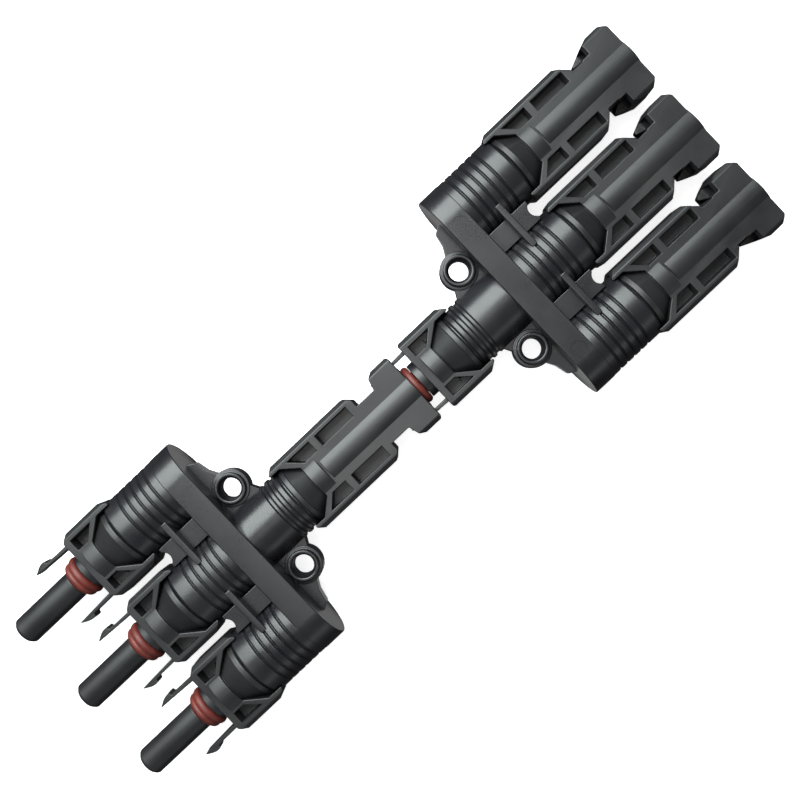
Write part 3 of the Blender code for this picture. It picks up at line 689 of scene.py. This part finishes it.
def stem_bridge(side):
    """The web and the crossbar between the middle stem and an outer one."""
    near, far = span(side, STEM_R - MARGIN, PORT_PITCH - STEM_R + MARGIN)
    root = -SLAB_DEPTH
    web = block((root - WEB_LENGTH, near, -WEB_HALF_HEIGHT), (root + 0.5, far, WEB_HALF_HEIGHT))
    scallop = upright_rod(SCALLOP_R)
    web_end = root - WEB_LENGTH - SCALLOP_R / 2
    web = combined(web, [shifted(scallop, web_end, side * PORT_PITCH / 2)])
    bar_y = span(side, STEM_R / 2, PORT_PITCH - STEM_R / 2)
    bar = block((root - CROSSBAR_START - CROSSBAR_THICKNESS, bar_y[0], -CROSSBAR_HALF_HEIGHT),
                (root - CROSSBAR_START, bar_y[1], CROSSBAR_HALF_HEIGHT))
    return [bevelled(web), bevelled(bar, CROSSBAR_BEVEL, 3)]


def manifold(single_end, ejector_marks):
    meshes = [slab(ejector_marks), single_stem(single_end)]
    meshes += [triple_stem(y) for y in (-PORT_PITCH, 0.0, PORT_PITCH)]
    for side in (-1, 1):
        meshes += [ear(side), gusset(side)] + stem_bridge(side)
    return meshes


# ---- couplers ----


def chamfer_keep(half_width, start, end):
    """A prism along x that takes the long edges off whatever is kept inside it."""
    corners = [(half_width + MARGIN, FLAT_HALF_HEIGHT - EDGE_CHAMFER - MARGIN),
               (half_width - EDGE_CHAMFER - MARGIN, FLAT_HALF_HEIGHT + MARGIN)]
    upper = corners + [(-y, z) for y, z in reversed(corners)]
    return moved(plate(upper + [(y, -z) for y, z in reversed(upper)], start, end), TO_X)


def pocket(side, above, front, back, outer_back, inner_y):
    """A moulding pocket beside the port axis, open above or below the middle web.

    Its back wall slants when it is further back at the outside than at the inside.
    """
    outline = [(-front, side * inner_y), (-front, side * POCKET_OUTER_Y),
               (-outer_back, side * POCKET_OUTER_Y), (-back, side * inner_y)]
    return plate(outline, *span(above, POCKET_FLOOR, FLAT_HALF_HEIGHT + MARGIN))


def fan_relief(above, rear, wide_x, narrow_x, narrow_y):
    """The tapering relief round the cone, cut down to the fan floor."""
    wide_y = FAN_HALF_WIDTH
    outline = [(narrow_x, -narrow_y), (narrow_x, narrow_y), (wide_x, wide_y), (rear, wide_y),
               (rear, -wide_y), (wide_x, -wide_y)]
    return plate(outline, *span(above, FAN_FLOOR, FLAT_HALF_HEIGHT + MARGIN))


def flank_cuts(start, end, inner_y):
    """Cuts that keep a turned core out of the pockets beside it."""
    return both_sides(lambda side: side_block(
        side, start, end, inner_y - OVERLAP / 2, FLANK_REACH, -THROUGH, THROUGH))


def collar_rim(rear):
    """The collar's edge, from its rear face to the foot of the cone."""
    front = rear + COLLAR_LENGTH
    return [(rear, COLLAR_R - COLLAR_EDGE), (rear + COLLAR_EDGE, COLLAR_R), (front, COLLAR_R),
            (front, COLLAR_R - COLLAR_EDGE)]


def socket_body(stem_r, front):
    """The flat body of a socket coupler, with its pockets, fans and arm slots."""
    half, rear = SOCKET_HALF_WIDTH, -SOCKET_WALL_END
    taper_length, taper_width = SOCKET_REAR_TAPER
    side = [(rear, half - taper_width), (rear + taper_length, half), (-front, half),
            (0.0, half - front)]
    outline = side + [(x, -y) for x, y in reversed(side)]
    body = plate(outline, -FLAT_HALF_HEIGHT, FLAT_HALF_HEIGHT)
    body = combined(body, [chamfer_keep(half, rear - MARGIN, MARGIN)], "INTERSECT")
    cuts = []
    for above in (-1, 1):
        cuts.append(fan_relief(above, rear - MARGIN, COLLAR_LENGTH - SOCKET_COLLAR_END,
                               -SOCKET_CONE_FRONT, SOCKET_FAN_HALF_WIDTH))
        cuts += both_sides(lambda s: pocket(s, above, FRONT_PLATE, *SOCKET_POCKET_ENDS,
                                            SOCKET_POCKET_INNER_Y))
    slot_z = ARM_HALF_HEIGHT + ARM_ROOM
    inner, outer = (ARM_HINGE[1] + reach for reach in ARM_SLOT)
    cuts += both_sides(lambda s: side_block(
        s, -ARM_ROOT - ARM_ROOM, MARGIN, inner, outer, -slot_z, slot_z))
    bores = [rod(rear - MARGIN, OVERLAP - SOCKET_COLLAR_END, stem_r + STEM_GAP),
             rod(rear - 2.0 * MARGIN, -SOCKET_CLIP_BORE_END, CLIP_BORE_R + HIDDEN_ROOM,
                 SMALL_STEPS),
             rod(-SOCKET_CLIP_BORE_END - MARGIN, MARGIN, CONTACT_BORE_R + HIDDEN_ROOM,
                 SMALL_STEPS)]
    return combined(bevelled(combined(body, cuts)), bores)


def socket_core():
    """Collar, cone, neck, seal seat and probe tube, with the bores for contact and clip."""
    collar = -SOCKET_COLLAR_END
    room_beside, room_below = SEAT_ROOM
    seal_half = SEAL_HALF_LENGTH + room_beside
    seat = SEAL_INNER_R - room_below
    lip = PROBE_LENGTH - PROBE_LIP
    clip_end = -SOCKET_CLIP_BORE_END
    outside = [
        *collar_rim(collar), (-SOCKET_CONE_FRONT, CONE_SMALL_R),
        (-SOCKET_CONE_FRONT, SOCKET_NECK_R),
        (-SOCKET_NECK_FRONT, SOCKET_NECK_R), (-SOCKET_NECK_FRONT, SEAL_SEAT_R),
        (SEAL_X - seal_half, SEAL_SEAT_R), (SEAL_X - seal_half, seat),
        (SEAL_X + seal_half, seat), (SEAL_X + seal_half, PROBE_R),
        (PROBE_LENGTH - PROBE_NOSE, PROBE_R), (PROBE_LENGTH, PROBE_R - PROBE_NOSE),
    ]
    lead_in_depth, lead_in_width = PROBE_LEAD_IN
    inside = [
        (PROBE_LENGTH, PROBE_MOUTH_R + lead_in_width),
        (PROBE_LENGTH - lead_in_depth, PROBE_MOUTH_R), (lip, PROBE_MOUTH_R),
        (lip, CONTACT_BORE_R), (clip_end, CONTACT_BORE_R), (clip_end, CLIP_BORE_R),
        (collar, CLIP_BORE_R),
    ]
    core = turned(soften(outside + inside, EDGE_ROUND, closed=True))
    return combined(core, flank_cuts(OVERLAP - SOCKET_CONE_FRONT, OVERLAP - FRONT_PLATE,
                                     SOCKET_POCKET_INNER_Y))


def latch_arm(side, squeeze):
    """A tapering arm with a hooked end, tilted in about its hinge by the squeeze."""
    outline = [
        (-ARM_ROOT, 7.95), (ARM_LENGTH - 0.2, 8.55), (ARM_LENGTH, 8.75),
        (ARM_LENGTH - 1.6, 9.7), (HOOK_X + 1.4, HOOK_Y), (HOOK_X, HOOK_Y - 0.05),
        (HOOK_X, 9.2), (-ARM_ROOT, 9.1),
    ]
    outline = soften([(x, side * y) for x, y in outline], ARM_ROUND, closed=True)
    arm = bevelled(plate(outline, -ARM_HALF_HEIGHT, ARM_HALF_HEIGHT), ARM_BEVEL)
    hinge = Vector((ARM_HINGE[0], side * ARM_HINGE[1], 0.0))
    return [moved(arm, Matrix.Translation(-hinge), Matrix.Rotation(-side * squeeze, 4, "Z"),
                  Matrix.Translation(hinge))]


def seal():
    """A broad seal with two lips, the rear one the larger."""
    half, outer = SEAL_HALF_LENGTH, SEAL_OUTER_R
    profile = [
        (-half, SEAL_INNER_R), (-half, outer - 0.6), (-1.5, outer), (-0.6, outer),
        (0.05, outer - 0.55), (0.7, outer - 0.4), (1.3, outer - 0.6), (half, outer - 1.7),
        (half, SEAL_INNER_R),
    ]
    return [turned([(x + SEAL_X, r) for x, r in soften(profile, SEAL_ROUND, 4, closed=True)])]


def shell_outline(wing_chamfer, tip_chamfer, shelf):
    """Wings that run back over the stem, a narrow waist at the latch window, and the tip."""
    half = SHELL_HALF_WIDTH
    rear = -TIP_BLOCK_LENGTH - (SHELF_LENGTH if shelf else 0.0)
    shoulder = [(rear + x, y) for x, y in (SHELF_SHOULDER if shelf else TIP_SHOULDER)]
    side = [
        (-SHELL_WALL_END, half - SHELL_REAR_TAPER), (SHELL_REAR_TAPER - SHELL_WALL_END, half),
        (-WAIST_END - wing_chamfer, half), (-WAIST_END, half - wing_chamfer),
        (-WAIST_END, WAIST_HALF_WIDTH), (rear, WAIST_HALF_WIDTH), *shoulder,
        (-tip_chamfer, half), (TIP_FACE_X, half - tip_chamfer),
    ]
    return side + [(x, -y) for x, y in reversed(side)]


def shelf_cut(side):
    """Clears the tip block's rear part above the shelf under the latch window."""
    return side_block(side, -WAIST_END - OVERLAP, -TIP_BLOCK_LENGTH,
                      WAIST_HALF_WIDTH + SHELF_WALL, SHELL_HALF_WIDTH + MARGIN,
                      -CHANNEL_HALF_HEIGHT - SHELF_ROOM, FLAT_HALF_HEIGHT + MARGIN)


def shell_body(stem_r, wing_chamfer, tip_chamfer, shelf):
    """The flat body of a pin shell, with its pockets, fans, bores and arm channels."""
    outline = shell_outline(wing_chamfer, tip_chamfer, shelf)
    rear = -SHELL_WALL_END
    body = plate(outline, -FLAT_HALF_HEIGHT, FLAT_HALF_HEIGHT)
    body = combined(body, [chamfer_keep(SHELL_HALF_WIDTH, rear - MARGIN, MARGIN)], "INTERSECT")
    cuts = []
    if shelf:
        cuts += both_sides(shelf_cut)
    for above in (-1, 1):
        cuts.append(fan_relief(above, rear - MARGIN, COLLAR_LENGTH - SHELL_COLLAR_END,
                               -SHELL_NECK_END, SHELL_FAN_HALF_WIDTH))
        for front, back, outer_back in SHELL_POCKETS:
            cuts += both_sides(lambda s: pocket(s, above, front, back, outer_back,
                                                SHELL_POCKET_INNER_Y))
    cuts += both_sides(lambda s: side_block(
        s, -TIP_BLOCK_LENGTH - 2.0 * MARGIN, MARGIN, *CHANNEL_Y, -CHANNEL_HALF_HEIGHT,
        CHANNEL_HALF_HEIGHT))
    hidden = ((rear - 2.0 * MARGIN, -CLIP_BORE_START, CLIP_BORE_R),
              (-CLIP_BORE_START - MARGIN, -PLUG_BORE_DEPTH, CONTACT_BORE_R),
              (-PLUG_BORE_DEPTH - MARGIN / 2, -MOUTH_DEPTH, PLUG_BORE_R),
              (-MOUTH_DEPTH - MARGIN / 2, MARGIN, MOUTH_R))
    bores = [rod(rear - MARGIN, OVERLAP - SHELL_COLLAR_END, stem_r + STEM_GAP)]
    bores += [rod(start, end, radius + HIDDEN_ROOM, SMALL_STEPS) for start, end, radius in hidden]
    return combined(bevelled(combined(body, cuts)), bores)


def shell_core():
    """Collar, cone, neck and long barrel, with the stepped bore down the middle."""
    collar = -SHELL_COLLAR_END
    neck_front = -BARREL_END - BARREL_GROOVE_WIDTH
    outside = [
        *collar_rim(collar), (-SHELL_NECK_END, CONE_SMALL_R), (-SHELL_NECK_END, SHELL_NECK_R),
        (neck_front, SHELL_NECK_R), (neck_front, BARREL_GROOVE_R),
        (-BARREL_END, BARREL_GROOVE_R), (-BARREL_END, BARREL_R), (0.0, BARREL_R),
    ]
    inside = [
        (0.0, MOUTH_R), (-MOUTH_DEPTH, MOUTH_R), (-MOUTH_DEPTH, PLUG_BORE_R),
        (-PLUG_BORE_DEPTH, PLUG_BORE_R), (-PLUG_BORE_DEPTH, CONTACT_BORE_R),
        (-CLIP_BORE_START, CONTACT_BORE_R), (-CLIP_BORE_START, CLIP_BORE_R),
        (collar, CLIP_BORE_R),
    ]
    core = turned(soften(outside + inside, CORE_ROUND, closed=True))
    cuts = []
    for front, back, outer_back in SHELL_POCKETS:
        slanted = outer_back > back
        start = max(-back - 2.0 * MARGIN, OVERLAP - SHELL_NECK_END) if slanted else OVERLAP - back
        cuts += flank_cuts(start, -front - OVERLAP, SHELL_POCKET_INNER_Y)
    return combined(core, cuts)


# ---- metal parts ----


def socket_contact():
    """A crimp barrel behind and a tube in front, open towards the pin."""
    rear, front = -SOCKET_CONTACT_REAR, PROBE_LENGTH - PROBE_LIP - SOCKET_TUBE_SETBACK
    return [turned(soften([
        (rear + CRIMP_DEPTH, 0.0), (rear + CRIMP_DEPTH, CRIMP_BORE_R), (rear, CRIMP_BORE_R),
        (rear, CRIMP_R), (-SOCKET_CRIMP_END, CRIMP_R), (-SOCKET_CRIMP_END, CONTACT_R),
        (front, CONTACT_R), (front, SOCKET_TUBE_R), (SOCKET_TUBE_BACK, SOCKET_TUBE_R),
        (SOCKET_TUBE_BACK, 0.0),
    ], SOCKET_CONTACT_ROUND), SMALL_STEPS)]


def lamella():
    """A plain spring sleeve, its slots left out as too fine to see inside the tube."""
    start, end = LAMELLA_SPAN
    inner = PIN_R + LAMELLA_ROOM
    outer = inner + LAMELLA_WALL
    profile = [(start, inner), (start, outer), (end, outer), (end, inner)]
    return [turned(soften(profile, LAMELLA_ROUND, closed=True), SMALL_STEPS)]


def pin_contact():
    """A crimp barrel behind and a solid tapered pin in front."""
    rear, tip = -PIN_CONTACT_REAR, -PIN_START
    shoulder = -PLUG_BORE_DEPTH - PIN_SHOULDER_GAP
    return [turned(soften([
        (rear + CRIMP_DEPTH, 0.0), (rear + CRIMP_DEPTH, CRIMP_BORE_R), (rear, CRIMP_BORE_R),
        (rear, CRIMP_R), (-PIN_CRIMP_END, CRIMP_R), (-PIN_CRIMP_END, CONTACT_R),
        (shoulder, CONTACT_R), (shoulder, PIN_R), (tip - PIN_TAPER, PIN_R), (tip, PIN_R / 2),
        (tip, 0.0),
    ], METAL_ROUND), SMALL_STEPS)]


def clip(x):
    """A flared spring sleeve that holds a contact against the step in its bore."""
    profile = [(0.0, CLIP_FRONT_R), (0.0, CLIP_FRONT_R + CLIP_WALL),
               (-CLIP_LENGTH, CLIP_REAR_R + CLIP_WALL), (-CLIP_LENGTH, CLIP_REAR_R)]
    profile = soften(profile, THIN_ROUND, closed=True)
    return [turned([(x + along, radius) for along, radius in profile], SMALL_STEPS)]


def busbar(triple_end, single_end):
    """The bar across the manifold, with a round stub into each contact's crimp barrel."""
    root = sum(BUS_X) / 2
    stub = turned(soften([(-triple_end, 0.0), (-triple_end, STUB_R), (root, STUB_R),
                          (root, 0.0)], METAL_ROUND), SMALL_STEPS)
    bar = block((BUS_X[0], -BUS_HALF_WIDTH, -BUS_HALF_HEIGHT),
                (BUS_X[1], BUS_HALF_WIDTH, BUS_HALF_HEIGHT))
    long_stub = turned(soften([(root, 0.0), (root, STUB_R), (single_end, STUB_R),
                               (single_end, 0.0)], METAL_ROUND), SMALL_STEPS)
    return [bevelled(bar), long_stub] + [shifted(stub, y=y)
                                         for y in (-PORT_PITCH, 0.0, PORT_PITCH)]


# ---- assembly ----


def make_materials():
    return {
        "manifold_plastic": moulded_plastic("manifold_plastic", (0.0065, 0.0065, 0.0085),
                                            (0.0125, 0.0125, 0.014), 0.31),
        "coupler_plastic": moulded_plastic("coupler_plastic", (0.0075, 0.0075, 0.0095),
                                           (0.0145, 0.0145, 0.0145), 0.40),
        "latch_plastic": moulded_plastic("latch_plastic", (0.014, 0.015, 0.016),
                                         (0.022, 0.022, 0.021), 0.34),
        "seal_rubber": silicone("seal_rubber", (0.080, 0.010, 0.007), (0.135, 0.021, 0.014)),
        "tinned_copper": turned_metal("tinned_copper", (0.62, 0.61, 0.59),
                                      (0.78, 0.77, 0.75), 0.28, (6.0, 1.0, 1.0)),
        "spring_brass": turned_metal("spring_brass", (0.70, 0.52, 0.24),
                                     (0.84, 0.66, 0.34), 0.26, (1.0, 4.0, 4.0)),
        "clip_steel": turned_metal("clip_steel", (0.52, 0.52, 0.53),
                                   (0.66, 0.66, 0.67), 0.30, (1.0, 4.0, 4.0)),
        "bus_copper": turned_metal("bus_copper", (0.72, 0.36, 0.24),
                                   (0.88, 0.50, 0.34), 0.32, (6.0, 1.0, 1.0)),
    }


def add_sockets(looks):
    """Socket couplers, with everything that sits in and on them."""
    core = socket_core()
    bodies = {"a": socket_body(STEM_R, SOCKET_FRONT_CHAMFER["a"]),
              "b": socket_body(SINGLE_STEM_R, SOCKET_FRONT_CHAMFER["b"])}
    ring, contact, sleeve = seal(), socket_contact(), lamella()
    spring_clip = clip(-SOCKET_CLIP_BORE_END - CLIP_SETBACK)
    for unit, number in (("a", 1), ("a", 2), ("a", 3), ("b", 4)):
        node = f"{unit}_socket_housing_{number}"
        body = f"unit_{unit}"
        place = turned_frame(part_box(node)[0].x + PROBE_LENGTH * MM, node, True)
        parts = (("socket_housing", [bodies[unit], core], "coupler_plastic"),
                 ("o_ring", ring, "seal_rubber"), ("socket_contact", contact, "tinned_copper"),
                 ("contact_lamella", sleeve, "spring_brass"),
                 ("socket_clip", spring_clip, "clip_steel"))
        for part, meshes, slot in parts:
            place_piece(f"fine_{unit}_{part}_{number}", meshes, place, looks[slot], body)
        squeeze = SQUEEZE_B if unit == "b" else 0.0
        for label, side in (("left", 1), ("right", -1)):
            arm = f"{unit}_latch_arm_{number}_{label}"
            place_piece(f"fine_{arm}", latch_arm(side, squeeze), place, looks["latch_plastic"],
                        arm)


def add_shells(looks):
    """Pin shells, with their contacts and clips."""
    core = shell_core()
    bodies = {"a": shell_body(SINGLE_STEM_R, WING_CHAMFER["a"], TIP_CHAMFER["a"], False),
              "b": shell_body(STEM_R, WING_CHAMFER["b"], TIP_CHAMFER["b"], True)}
    pin, spring_clip = pin_contact(), clip(-CLIP_BORE_START - CLIP_SETBACK)
    for unit, number in (("a", 4), ("b", 1), ("b", 2), ("b", 3)):
        node = f"{unit}_pin_shell_{number}"
        place = turned_frame(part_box(node)[1].x, node, False)
        parts = (("pin_shell", [bodies[unit], core], "coupler_plastic"),
                 ("pin_contact", pin, "tinned_copper"), ("pin_clip", spring_clip, "clip_steel"))
        for part, meshes, slot in parts:
            place_piece(f"fine_{unit}_{part}_{number}", meshes, place, looks[slot],
                        f"unit_{unit}")


def add_manifolds(looks):
    """Manifold mouldings, each with the copper link inside it."""
    into_crimp = COUPLER_GAP + CRIMP_DEPTH - STUB_SETBACK
    socket_stub = SOCKET_COLLAR_END - SOCKET_CONTACT_REAR + into_crimp
    pin_stub = SHELL_COLLAR_END - PIN_CONTACT_REAR + into_crimp
    stubs = {"a": (socket_stub, pin_stub), "b": (pin_stub, socket_stub)}
    for unit, half_turn in (("a", False), ("b", True)):
        node = f"{unit}_manifold_body"
        low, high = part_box(node)
        reach = TRIPLE_STEM_END * MM
        place = turned_frame(high.x - reach if half_turn else low.x + reach, node, half_turn)
        end = SINGLE_STEM_ENDS[unit]
        triple, single = stubs[unit]
        place_piece(f"fine_{node}", manifold(end, unit == "b"), place,
                    looks["manifold_plastic"], f"unit_{unit}")
        place_piece(f"fine_{unit}_busbar", busbar(TRIPLE_STEM_END + triple, end + single), place,
                    looks["bus_copper"], f"unit_{unit}")


# ---- studio ----


def add_camera():
    """Above the pair, looking down, with the picture's up turned round from +Y."""
    axis_z = middle("a_manifold_body").z
    target = Vector((*CAMERA_TARGET, axis_z))
    eye = target + Vector((CAMERA_OFFSET, 0.0, CAMERA_HEIGHT))
    roll = math.radians(CAMERA_ROLL)
    forward = (target - eye).normalized()
    right = Vector((math.cos(roll), -math.sin(roll), 0.0))
    right = (right - forward * right.dot(forward)).normalized()
    up = right.cross(forward)
    data = bpy.data.cameras.new("camera")
    data.lens = CAMERA_LENS
    data.sensor_width = CAMERA_SENSOR
    data.clip_start = CAMERA_NEAR
    camera = bpy.data.objects.new("camera", data)
    camera.matrix_world = Matrix.Translation(eye) @ Matrix((right, up, -forward)).transposed(
        ).to_4x4()
    bpy.context.scene.collection.objects.link(camera)
    bpy.context.scene.camera = camera


def add_softbox(name, location, size, power, colour, aim=(0.0, 0.0, 0.01)):
    data = bpy.data.lights.new(name, "AREA")
    data.shape = "RECTANGLE"
    data.size, data.size_y = size
    data.energy = power
    data.color = colour
    lamp = bpy.data.objects.new(name, data)
    lamp.location = location
    lamp.rotation_euler = (Vector(aim) - Vector(location)).to_track_quat("-Z", "Y").to_euler()
    lamp.visible_camera = False
    bpy.context.scene.collection.objects.link(lamp)


def add_studio():
    world = bpy.data.worlds.new("studio")
    bpy.context.scene.world = world
    world.use_nodes = True
    tree = world.node_tree
    background = tree.nodes["Background"]
    split = tree.nodes.new("ShaderNodeSeparateXYZ")
    tree.links.new(tree.nodes.new("ShaderNodeTexCoord").outputs["Generated"], split.inputs["Vector"])
    level = remap(tree, split.outputs["Z"], -HORIZON, HORIZON, 0.0, 1.0)
    sky = blend_colours(tree, level, WORLD_BELOW, WORLD_ABOVE)
    tree.links.new(sky, background.inputs["Color"])
    for softbox in SOFTBOXES:
        add_softbox(*softbox)
    for x in BOUNCE_X:
        for y in (-BOUNCE_Y, BOUNCE_Y):
            add_softbox("bounce", (x, y, BOUNCE_Z), (BOUNCE_SIZE, BOUNCE_SIZE), BOUNCE_POWER,
                        (1.0, 1.0, 1.0), (x, y, 1.0))

    shape = bmesh.new()
    bmesh.ops.create_grid(shape, x_segments=1, y_segments=1, size=FLOOR_SIZE)
    mesh = bpy.data.meshes.new("floor")
    shape.to_mesh(mesh)
    shape.free()
    floor = bpy.data.objects.new("floor", mesh)
    floor.location.z = -FLOOR_DROP
    floor.visible_glossy = False
    floor.visible_diffuse = False
    pale, tree, shader, place = new_material("pale_floor")
    speck = noise(tree, place, FLOOR_SPECK_SCALE)
    colour = blend_colours(tree, speck, (0.80, 0.80, 0.80), (0.84, 0.84, 0.84))
    tree.links.new(colour, shader.inputs["Base Color"])
    shader.inputs["Roughness"].default_value = FLOOR_ROUGHNESS
    shader.inputs["Emission Color"].default_value = (1.0, 1.0, 1.0, 1.0)
    shader.inputs["Emission Strength"].default_value = FLOOR_GLOW
    mesh.materials.append(pale)
    bpy.context.scene.collection.objects.link(floor)
    bpy.context.scene.view_settings.view_transform = "Standard"


looks = make_materials()
add_manifolds(looks)
add_sockets(looks)
add_shells(looks)
add_camera()
add_studio()
